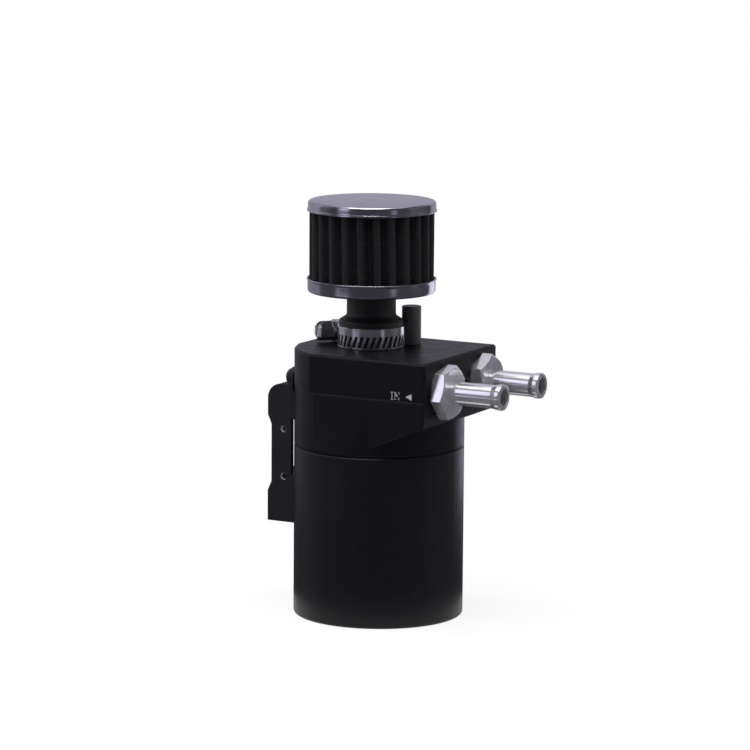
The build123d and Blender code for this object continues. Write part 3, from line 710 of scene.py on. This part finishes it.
@dataclass
class PleatedElement:
    """The filter's folded gauze, between its two caps."""

    MAP = "gauze"
    pleats: int = 24
    depth: float = 3.4
    sheet: float = 2.0
    groove_sharpness: float = 1.7
    turn: float = math.radians(3.3)
    lean: float = math.radians(1.6)
    unevenness: float = 0.05
    steps_per_pleat: int = 20
    rows: int = 8
    seed: int = 5
    low: Vector = field(init=False)
    high: Vector = field(init=False)

    def __post_init__(self) -> None:
        """Reads the element's place from its node."""
        self.low, self.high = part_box("filter_element")

    def build(self) -> bpy.types.Object:
        """Builds the folded sheet.

        Returns:
            The piece, riding on the can.
        """
        centre = (self.low + self.high) / 2
        outer = (self.high.x - self.low.x) / 2 / MM
        outline = self._outline(outer)
        shape = bmesh.new()
        layer = shape.loops.layers.uv.new(self.MAP)
        walls = [self._wall(shape, outline, inset, centre) for inset in (0.0, self.sheet)]
        for wall, outward in zip(walls, (True, False)):
            self._skin(shape, wall, outline, layer, outward)
        self._close(shape, walls)
        piece = new_piece("filter_pleats", shape, smooth_below=70.0)
        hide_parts("filter_element")
        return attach(piece, Body.CAN.value)

    def _outline(self, outer: float) -> list[tuple[float, float, float]]:
        """Works the folds out.

        Args:
            outer: The radius at the folds' crests, in millimetres.

        Returns:
            Points round the element, each an angle, a radius and a length along the sheet.
        """
        draw = random.Random(self.seed)
        pitch = 2 * math.pi / self.pleats
        shifts = [draw.uniform(-self.unevenness, self.unevenness) * pitch for _ in range(self.pleats)]
        depths = [self.depth * (1 - draw.uniform(0, 3 * self.unevenness)) for _ in range(self.pleats)]
        points: list[tuple[float, float, float]] = []
        length = 0.0
        for step in range(self.pleats * self.steps_per_pleat):
            pleat, part = divmod(step, self.steps_per_pleat)
            share = part / self.steps_per_pleat
            bend = shifts[pleat] * math.sin(math.pi * share) ** 2
            angle = (pleat + share) * pitch + bend + self.turn
            groove = (0.5 - 0.5 * math.cos(2 * math.pi * share)) ** self.groove_sharpness
            radius = outer - depths[pleat] * groove
            if points:
                last_angle, last_radius, _ = points[-1]
                length += math.hypot(radius - last_radius, radius * (angle - last_angle))
            points.append((angle, radius, length))
        return points

    def _wall(
        self,
        shape: bmesh.types.BMesh,
        outline: Sequence[tuple[float, float, float]],
        inset: float,
        centre: Vector,
    ) -> list[list[bmesh.types.BMVert]]:
        """Makes one side of the sheet.

        Args:
            shape: The mesh that the points join.
            outline: The folds.
            inset: How far the side lies inside the folds, in millimetres.
            centre: A point on the element's axis.

        Returns:
            Rows of points, from the foot up.
        """
        rows = []
        for row in range(self.rows + 1):
            share = row / self.rows
            height = self.low.z + (self.high.z - self.low.z) * share
            twist = self.lean * (0.5 - share)
            rows.append([
                shape.verts.new((
                    centre.x + (radius - inset) * MM * math.cos(angle + twist),
                    centre.y + (radius - inset) * MM * math.sin(angle + twist),
                    height,
                ))
                for angle, radius, _ in outline
            ])
        return rows

    def _skin(
        self,
        shape: bmesh.types.BMesh,
        rows: Sequence[Sequence[bmesh.types.BMVert]],
        outline: Sequence[tuple[float, float, float]],
        layer: bmesh.types.BMLayerItem,
        outward: bool,
    ) -> None:
        """Covers one side of the sheet, with a map of its length and height in millimetres.

        Args:
            shape: The mesh that the faces join.
            rows: The side's points.
            outline: The folds, which give the length along the sheet.
            layer: The map.
            outward: Whether the side faces away from the axis.
        """
        count = len(outline)
        round_length = outline[-1][2] + outline[1][2]
        for below, above in zip(rows, rows[1:]):
            for step in range(count):
                after = (step + 1) % count
                start = outline[step][2]
                end = outline[after][2] if after else round_length
                corners = [
                    (below[step], start), (below[after], end), (above[after], end), (above[step], start)
                ]
                face = shape.faces.new([v for v, _ in (corners if outward else corners[::-1])])
                along = dict(corners)
                for loop in face.loops:
                    loop[layer].uv = (along[loop.vert], loop.vert.co.z / MM)

    @staticmethod
    def _close(
        shape: bmesh.types.BMesh, walls: Sequence[Sequence[Sequence[bmesh.types.BMVert]]]
    ) -> None:
        """Joins the two sides at the sheet's top and bottom edges.

        Args:
            shape: The mesh that the faces join.
            walls: The rows of points of the outer and the inner side.
        """
        outer, inner = walls
        count = len(outer[0])
        for row in (0, -1):
            for step in range(count):
                after = (step + 1) % count
                shape.faces.new([outer[row][step], outer[row][after], inner[row][after], inner[row][step]])


@dataclass
class FilterShell:
    """The filter's plated caps with rolled lips, and its moulded boot."""

    sheet: float = 0.6
    lip_height: float = 1.1
    lip_flare: float = 0.35
    cap_round: float = 1.3
    lip_round: float = 0.25
    foot_radius: float = 25.45
    foot_round: float = 1.2
    waist_radius: float = 9.8
    waist_bore: float = 7.4
    neck_radius: float = 9.55
    sleeve_radius: float = 12.8
    sleeve_rise: float = 10.7
    waist_rise: float = 12.6
    step_rise: float = 11.1
    sleeve_foot_round: float = 0.2
    sleeve_round: float = 0.5
    waist_round: float = 1.0
    pad_round: float = 1.4
    pad_lip: float = 0.6
    pad_gap: float = 0.2
    gap: float = 0.05
    centre: Vector = field(init=False)

    def __post_init__(self) -> None:
        """Reads the filter's axis from its top cap."""
        low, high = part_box("filter_top_cap")
        self.centre = (low + high) / 2

    def build(self) -> list[bpy.types.Object]:
        """Builds the two caps and the boot.

        Returns:
            The three pieces, riding on the can.
        """
        made = []
        for name, node, slot, profile in (
            ("filter_cap_top", "filter_top_cap", "dark_chrome", self._top_cap()),
            ("filter_cap_bottom", "filter_lower_cap", "dark_chrome", self._lower_cap()),
            ("filter_boot_moulding", "filter_boot", "black_rubber", self._boot()),
        ):
            piece = new_piece(name, lathe(rounded_profile(profile), self.centre), smooth_below=50.0)
            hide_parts(node)
            made.append(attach(piece, Body.CAN.value))
        return made

    def _top_cap(self) -> list[Corner]:
        """Draws the top cap's profile.

        Returns:
            Its corners, from the middle of its top.
        """
        low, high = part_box("filter_top_cap")
        lip = (high.x - low.x) / 2 / MM
        skirt = lip - self.lip_flare
        foot, top = low.z / MM, high.z / MM
        inner = self.sheet
        return [
            Corner(0.0, top),
            Corner(skirt, top, self.cap_round),
            Corner(skirt, foot + self.lip_height, self.lip_round),
            Corner(lip, foot + self.lip_height / 2, self.lip_round),
            Corner(lip, foot, self.lip_round),
            Corner(lip - inner, foot, self.lip_round),
            Corner(skirt - inner, foot + self.lip_height),
            Corner(skirt - inner, top - inner),
            Corner(0.0, top - inner),
        ]

    def _lower_cap(self) -> list[Corner]:
        """Draws the lower cap's profile.

        Returns:
            Its corners, from the boot's waist outwards.
        """
        low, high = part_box("filter_lower_cap")
        lip = (high.x - low.x) / 2 / MM
        skirt = lip - self.lip_flare
        foot, top = low.z / MM, high.z / MM
        inner = self.sheet
        return [
            Corner(self.waist_radius + self.gap, foot),
            Corner(self.foot_radius, foot, self.foot_round),
            Corner(skirt, top - self.lip_height, self.lip_round),
            Corner(lip, top - self.lip_height / 2, self.lip_round),
            Corner(lip, top, self.lip_round),
            Corner(lip - inner, top, self.lip_round),
            Corner(skirt - inner, top - self.lip_height),
            Corner(self.foot_radius - inner, foot + inner, self.foot_round),
            Corner(self.waist_radius + self.gap, foot + inner),
        ]

    def _boot(self) -> list[Corner]:
        """Draws the boot's profile.

        Returns:
            Its corners, from the foot of its sleeve outwards.
        """
        low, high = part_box("filter_boot")
        pad = (high.x - low.x) / 2 / MM
        foot, top = low.z / MM, high.z / MM
        cap_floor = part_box("filter_lower_cap")[0].z / MM + self.sheet + self.gap
        pad_foot = self.foot_radius - self.sheet - self.pad_gap
        return [
            Corner(self.neck_radius, foot),
            Corner(self.sleeve_radius, foot, self.sleeve_foot_round),
            Corner(self.sleeve_radius, foot + self.sleeve_rise, self.sleeve_round),
            Corner(self.waist_radius, foot + self.waist_rise, self.waist_round),
            Corner(self.waist_radius, cap_floor),
            Corner(pad_foot, cap_floor, self.pad_round),
            Corner(pad, top - self.pad_lip),
            Corner(pad, top),
            Corner(self.waist_bore, top),
            Corner(self.waist_bore, foot + self.step_rise),
            Corner(self.neck_radius, foot + self.step_rise),
        ]


@dataclass
class ScrewThread:
    """A rounded screw ridge round an upright shank."""

    name: str
    body: Body
    slot: str
    centre: Point
    root: float
    ridge: float
    pitch: float
    foot: float
    top: float
    sunk: float = 0.1
    sunk_half: float = 0.45
    root_half: float = 0.4
    crest_half: float = 0.12
    fade_turn: float = 0.25
    sides: int = 96

    def build(self) -> bpy.types.Object:
        """Builds the ridge as a closed bar along a helix.

        Returns:
            The piece, riding on its body.
        """
        shape = bmesh.new()
        turns = (self.top - self.foot - self.pitch) / self.pitch
        count = int(turns * self.sides)
        half = ((-self.sunk, self.sunk_half), (0.0, self.root_half), (self.ridge, self.crest_half))
        section = [(out, -up) for out, up in half] + list(half[::-1])
        fade_steps = self.fade_turn * self.sides
        rings = []
        for step in range(count + 1):
            angle = 2 * math.pi * step / self.sides
            rise = self.foot + self.pitch * (0.5 + step / self.sides)
            fade = min(1.0, step / fade_steps, (count - step) / fade_steps)
            rings.append([
                shape.verts.new((
                    (self.centre[0] + (self.root + out * (fade if out > 0 else 1)) * math.cos(angle)) * MM,
                    (self.centre[1] + (self.root + out * (fade if out > 0 else 1)) * math.sin(angle)) * MM,
                    (rise + up * self.pitch) * MM,
                ))
                for out, up in section
            ])
        for ring, other in zip(rings, rings[1:]):
            for step in range(len(section)):
                after = (step + 1) % len(section)
                shape.faces.new([ring[step], other[step], other[after], ring[after]])
        shape.faces.new(rings[0])
        shape.faces.new(rings[-1][::-1])
        piece = new_piece(self.name, shape, smooth_below=35.0)
        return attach(piece, self.body.value)


@dataclass
class InletMarking:
    """The printed word and arrow that mark the inlet, on the head's flat side above the ledge."""

    left: float = 21.6
    foot: float = 92.65
    tall: float = 3.0
    serif: float = 0.2
    i_width: float = 1.2
    i_stem: float = 0.34
    n_shift: float = 1.55
    n_width: float = 2.6
    n_stem: float = 0.26
    n_foot: float = 0.86
    n_near: float = 0.26
    n_far: float = 1.98
    n_join: float = 0.75
    n_lap: float = 0.08
    arrow_tip: float = 28.15
    arrow_back: float = 30.85
    arrow_middle: float = 94.15
    arrow_half: float = 1.3
    side: float = 30.5
    film: float = 0.03

    def build(self) -> bpy.types.Object:
        """Builds the two letters and the arrow as one thin print.

        Returns:
            The piece, riding on the can.
        """
        shape = bmesh.new()
        for outline in (self._letter_i(), self._letter_n(), self._arrow()):
            back = [shape.verts.new((x * MM, -self.side * MM, z * MM)) for x, z in outline]
            front = [shape.verts.new((x * MM, -(self.side + self.film) * MM, z * MM)) for x, z in outline]
            shape.faces.new(back[::-1])
            shape.faces.new(front)
            for step in range(len(outline)):
                after = (step + 1) % len(outline)
                shape.faces.new([back[step], back[after], front[after], front[step]])
        bmesh.ops.triangulate(shape, faces=[f for f in shape.faces if len(f.verts) > 4])
        piece = new_piece("inlet_marking", shape, smooth_below=20.0)
        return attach(piece, Body.CAN.value)

    def _placed(self, outline: Iterable[Point], shift: float) -> list[Point]:
        """Moves a letter to its place on the head."""
        return [(self.left + shift + x, self.foot + z) for x, z in outline]

    def _letter_i(self) -> list[Point]:
        """Draws the first letter.

        Returns:
            Its outline on the head's side.
        """
        wide, tall, serif = self.i_width, self.tall, self.serif
        near, far = (wide - self.i_stem) / 2, (wide + self.i_stem) / 2
        outline = [
            (0, 0), (wide, 0), (wide, serif), (far, serif), (far, tall - serif), (wide, tall - serif),
            (wide, tall), (0, tall), (0, tall - serif), (near, tall - serif), (near, serif), (0, serif),
        ]
        return self._placed(outline, 0.0)

    def _letter_n(self) -> list[Point]:
        """Draws the second letter.

        Returns:
            Its outline on the head's side.
        """
        wide, tall, serif, foot = self.n_width, self.tall, self.serif, self.n_foot
        near, inner, far = self.n_near, self.n_near + self.n_stem, self.n_far
        right = far + self.n_stem
        slope = (tall - self.n_join) / (far - inner - self.n_lap)
        outline = [
            (0, 0), (foot, 0), (foot, serif), (inner, serif), (inner, slope * (far - inner)),
            (far, 0), (right, 0), (right, tall - serif), (wide, tall - serif), (wide, tall),
            (wide - foot, tall), (wide - foot, tall - serif), (far, tall - serif), (far, self.n_join),
            (inner + self.n_lap, tall), (0, tall), (0, tall - serif), (near, tall - serif), (near, serif),
            (0, serif),
        ]
        return self._placed(outline, self.n_shift)

    def _arrow(self) -> list[Point]:
        """Gives the outline of the arrow, which points away from the inlet."""
        low, high = self.arrow_middle - self.arrow_half, self.arrow_middle + self.arrow_half
        return [(self.arrow_tip, self.arrow_middle), (self.arrow_back, low), (self.arrow_back, high)]


@dataclass
class BareHoles:
    """The bare drilled walls of the two cross holes in the bracket's side."""

    inset: float = 7.3
    rises: Point = (18.55, 37.9)
    radius: float = 1.35
    liner: float = 0.04
    side: float = 11.95
    depth: float = 1.3
    sides: int = 32

    def build(self) -> bpy.types.Object:
        """Builds a thin liner in each hole.

        Returns:
            The piece, riding on the can.
        """
        shape = bmesh.new()
        back_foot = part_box("bracket")[0]
        section = (
            (self.radius, self.side), (self.radius - self.liner, self.side),
            (self.radius - self.liner, self.side - self.depth), (self.radius, self.side - self.depth),
        )
        for rise in self.rises:
            middle = (back_foot.x / MM + self.inset, back_foot.z / MM + rise)
            rings = [
                [self._point(shape, middle, radius, inward, step) for step in range(self.sides)]
                for radius, inward in section
            ]
            for ring, other in zip(rings, rings[1:] + rings[:1]):
                for step in range(self.sides):
                    after = (step + 1) % self.sides
                    shape.faces.new([ring[step], ring[after], other[after], other[step]])
        piece = new_piece("bare_holes", shape)
        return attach(piece, Body.CAN.value)

    def _point(
        self, shape: bmesh.types.BMesh, middle: Point, radius: float, inward: float, step: int
    ) -> bmesh.types.BMVert:
        """Adds one point of a ring round a hole.

        Args:
            shape: The mesh that the point joins.
            middle: The hole's middle on the bracket's side, in millimetres.
            radius: The ring's radius.
            inward: The ring's distance from the can's middle plane.
            step: The point's place on the ring.

        Returns:
            The point.
        """
        turn = 2 * math.pi * step / self.sides
        x, z = middle[0] + radius * math.cos(turn), middle[1] + radius * math.sin(turn)
        return shape.verts.new((x * MM, -inward * MM, z * MM))


@dataclass(frozen=True)
class SoftBox:
    """A rectangular lamp that faces the can."""

    name: str
    azimuth: float
    elevation: float
    distance: float
    size: Point
    power: float
    colour: Colour = (1.0, 1.0, 1.0)


@dataclass(frozen=True)
class Card:
    """An upright curved card round the can, which only reflections show."""

    name: str
    azimuth: float
    half_span: float
    radius: float
    foot: float
    top: float
    level: float


@dataclass
class Studio:
    """The camera, the lamps, the cards, the pale floor and the white surround."""

    azimuth: float = 28.73
    elevation: float = 9.26
    distance: float = 1.6
    lens: float = 192.7
    sensor: float = 36.0
    roll: float = 0.42
    aim_right: float = -0.00187
    aim_height: float = 0.09615
    floor_size: float = 40.0
    floor_colour: Colour = (0.92, 0.92, 0.92)
    glow_near: float = 0.85
    glow_reach: Point = (0.1, 0.4)
    fill: float = 0.35
    boxes: Sequence[SoftBox] = (
        SoftBox("overhead_box", 10.0, 72.0, 1.3, (1.0, 1.0), 16.0),
        SoftBox("left_box", -75.0, 20.0, 1.5, (0.5, 1.2), 8.0),
        SoftBox("right_box", 120.0, 20.0, 1.5, (0.5, 1.2), 8.0),
    )
    cards: Sequence[Card] = (
        Card("front_card", 40.0, 115.0, 0.28, 0.001, 0.55, 0.085),
        Card("back_card_low", 220.0, 65.0, 0.28, 0.001, 0.12, 0.33),
        Card("back_card", 220.0, 65.0, 0.28, 0.12, 0.55, 0.47),
        Card("left_panel", -25.0, 12.0, 0.27, 0.035, 0.066, 0.9),
        Card("left_strip", -32.0, 3.0, 0.265, 0.066, 0.084, 0.6),
        Card("right_panel", 67.0, 4.0, 0.27, 0.065, 0.2, 0.5),
        Card("tail_panel", -22.0, 9.0, 0.262, 0.154, 0.36, 1.2),
        Card("right_edge_strip", 168.0, 14.0, 0.27, 0.001, 0.12, 1.4),
    )
    card_tint: Colour = (0.95, 0.93, 1.12)
    ground_inner: float = 0.052
    ground_level: float = 0.09
    ground_lift: float = 0.0005

    @staticmethod
    def direction(azimuth: float, elevation: float) -> Vector:
        """Gives the way from the can towards a place round it.

        Args:
            azimuth: The turn about the can's axis in degrees, 0 at -Y and 90 at +X.
            elevation: The rise above the floor in degrees.

        Returns:
            The unit vector.
        """
        turn, rise = math.radians(azimuth), math.radians(elevation)
        return Vector((
            math.sin(turn) * math.cos(rise), -math.cos(turn) * math.cos(rise), math.sin(rise)
        ))

    def build(self) -> None:
        """Sets up everything that isn't part of the can."""
        bpy.context.scene.view_settings.view_transform = "Standard"
        self._camera()
        for box in self.boxes:
            self._lamp(box)
        for card in self.cards:
            self._card(card)
        self._ground()
        self._floor()
        self._surround()

    def _camera(self) -> None:
        """Places the camera where the photograph was taken from."""
        back = self.direction(self.azimuth, self.elevation)
        right = Vector((math.cos(math.radians(self.azimuth)), math.sin(math.radians(self.azimuth)), 0.0))
        target = right * self.aim_right + Vector((0.0, 0.0, self.aim_height))
        camera = bpy.data.objects.new("camera", bpy.data.cameras.new("camera"))
        camera.data.lens = self.lens
        camera.data.sensor_width = self.sensor
        camera.location = target + back * self.distance
        camera.rotation_mode = "QUATERNION"
        level = (-back).to_track_quat("-Z", "Y")
        camera.rotation_quaternion = level @ Quaternion((0.0, 0.0, 1.0), math.radians(self.roll))
        bpy.context.scene.collection.objects.link(camera)
        bpy.context.scene.camera = camera

    def _lamp(self, box: SoftBox) -> None:
        """Places one soft box.

        Args:
            box: The soft box.
        """
        data = bpy.data.lights.new(box.name, "AREA")
        data.shape = "RECTANGLE"
        data.size, data.size_y = box.size
        data.energy = box.power
        data.color = box.colour
        lamp = bpy.data.objects.new(box.name, data)
        towards = self.direction(box.azimuth, box.elevation)
        lamp.location = towards * box.distance + Vector((0.0, 0.0, self.aim_height))
        lamp.rotation_mode = "QUATERNION"
        lamp.rotation_quaternion = (-towards).to_track_quat("-Z", "Y")
        bpy.context.scene.collection.objects.link(lamp)

    def _card(self, card: Card) -> None:
        """Stands one card up round the can."""
        start, end = card.azimuth - card.half_span, card.azimuth + card.half_span
        self._sweep(card.name, (start, end), ((card.radius, card.foot), (card.radius, card.top)), card.level)

    def _ground(self) -> None:
        """Lays a dark ring on the floor round the can, out to the cards."""
        outer = self.cards[0].radius
        ring = ((self.ground_inner, self.ground_lift), (outer, self.ground_lift))
        self._sweep("ground_card", (0.0, 360.0), ring, self.ground_level)

    def _sweep(
        self, name: str, span: Point, ends: tuple[Point, Point], level: float, steps: int = 48
    ) -> None:
        """Makes a surface round the can that neither the camera nor the light on the can meets.

        Args:
            name: The surface's name.
            span: The azimuths between which it runs, in degrees.
            ends: Radius and height of its two edges, in metres.
            level: How bright reflections show it.
            steps: Faces along it.
        """
        shape = bmesh.new()
        columns = []
        for step in range(steps + 1):
            out = self.direction(span[0] + (span[1] - span[0]) * step / steps, 0.0)
            columns.append([shape.verts.new((out.x * r, out.y * r, height)) for r, height in ends])
        for near, far in zip(columns, columns[1:]):
            shape.faces.new([near[0], far[0], far[1], near[1]])
        piece = new_piece(name, shape)
        for kind in ("camera", "diffuse", "transmission", "volume_scatter", "shadow"):
            setattr(piece, "visible_" + kind, False)
        material = bpy.data.materials.new(name)
        material.use_nodes = True
        material.node_tree.nodes.clear()
        graph = Graph(material.node_tree)
        shade = graph.add("Emission", Color=(*self.card_tint, 1), Strength=level)
        graph.add("OutputMaterial", Surface=shade.outputs[0])
        dress(piece, material)

    def _seen(self, graph: Graph) -> bpy.types.NodeSocket:
        """Tells the rays that look from the rays that light.

        Args:
            graph: The material's graph.

        Returns:
            1 for rays of the camera, of reflections and through glass, and 0 for the light on the can.
        """
        path = graph.add("LightPath")
        direct = graph.math("MAXIMUM", path.outputs["Is Camera Ray"], path.outputs["Is Glossy Ray"])
        return graph.math("MAXIMUM", direct, path.outputs["Is Transmission Ray"])

    def _floor(self) -> None:
        """Lays the pale floor, which glows white and keeps the can's shadow."""
        half = self.floor_size / 2
        shape = bmesh.new()
        shape.faces.new([shape.verts.new((x, y, 0.0)) for x, y in (
            (-half, -half), (half, -half), (half, half), (-half, half)
        )])
        floor = new_piece("floor", shape)
        material = bpy.data.materials.new("pale_floor")
        material.use_nodes = True
        material.node_tree.nodes.clear()
        graph = Graph(material.node_tree)
        paper = graph.add("BsdfDiffuse", Color=(*self.floor_colour, 1))
        glow = graph.add("Emission", Color=(1, 1, 1, 1), Strength=1.0)
        place = graph.add("TexCoord").outputs["Object"]
        away = graph.add("VectorMath", {"operation": "LENGTH"}, Vector=place).outputs["Value"]
        near, far = self.glow_reach
        reach = graph.add(
            "MapRange", Value=away, From_Min=near, From_Max=far, To_Min=self.glow_near, To_Max=1.0
        )
        share = graph.math("MULTIPLY", self._seen(graph), reach.outputs["Result"])
        mixed = graph.add("MixShader", Fac=share)
        graph.feed(mixed.inputs[1], paper.outputs[0])
        graph.feed(mixed.inputs[2], glow.outputs[0])
        graph.add("OutputMaterial", Surface=mixed.outputs[0])
        dress(floor, material)

    def _surround(self) -> None:
        """Makes the surround white to look at, and a soft fill on the can."""
        world = bpy.data.worlds.new("white_surround")
        bpy.context.scene.world = world
        world.use_nodes = True
        world.node_tree.nodes.clear()
        graph = Graph(world.node_tree)
        span = graph.add("MapRange", Value=self._seen(graph), To_Min=self.fill, To_Max=1.0)
        sky = graph.add("Background", Color=(1, 1, 1, 1), Strength=span.outputs["Result"])
        graph.add("OutputWorld", Surface=sky.outputs[0])


class CatchCan:
    """The whole can: finishes on its solids, and the finer pieces."""

    def __init__(self, shop: FinishShop) -> None:
        """Keeps the shop that makes the finishes."""
        self.shop = shop

    def build(self) -> None:
        """Dresses the solids and adds the finer pieces."""
        for name, finish in NODE_FINISHES.items():
            dress(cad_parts[name], self.shop.material(finish))
            LOG.info("dressed %s in %s", name, finish.name)
        self._add(PleatedElement().build(), GAUZE)
        for piece, finish in zip(FilterShell().build(), (PLATED, PLATED, RUBBER)):
            self._add(piece, finish)
        self._add(self._bowl_thread().build(), BLACK_TURNED)
        self._add(InletMarking().build(), PRINT)
        self._add(BareHoles().build(), BARE)

    def _add(self, piece: bpy.types.Object, finish: Finish) -> None:
        """Dresses a new piece and reports it.

        Args:
            piece: The piece.
            finish: Its finish.
        """
        dress(piece, self.shop.material(finish))
        LOG.info("added %s in %s", piece.name, finish.name)

    @staticmethod
    def _bowl_thread() -> ScrewThread:
        """Gives the thread on the head's spigot, which the bowl screws onto."""
        return ScrewThread(
            "spigot_thread", Body.CAN, "black_anodised", (0.0, 0.0), root=30.7, ridge=0.2, pitch=2.0,
            foot=57.2, top=66.2,
        )


def main() -> None:
    """Builds the can and its studio."""
    logging.basicConfig(level=logging.INFO, format="%(name)s: %(message)s")
    CatchCan(FinishShop(Effects())).build()
    Studio().build()


if __name__ == "__main__":
    main()
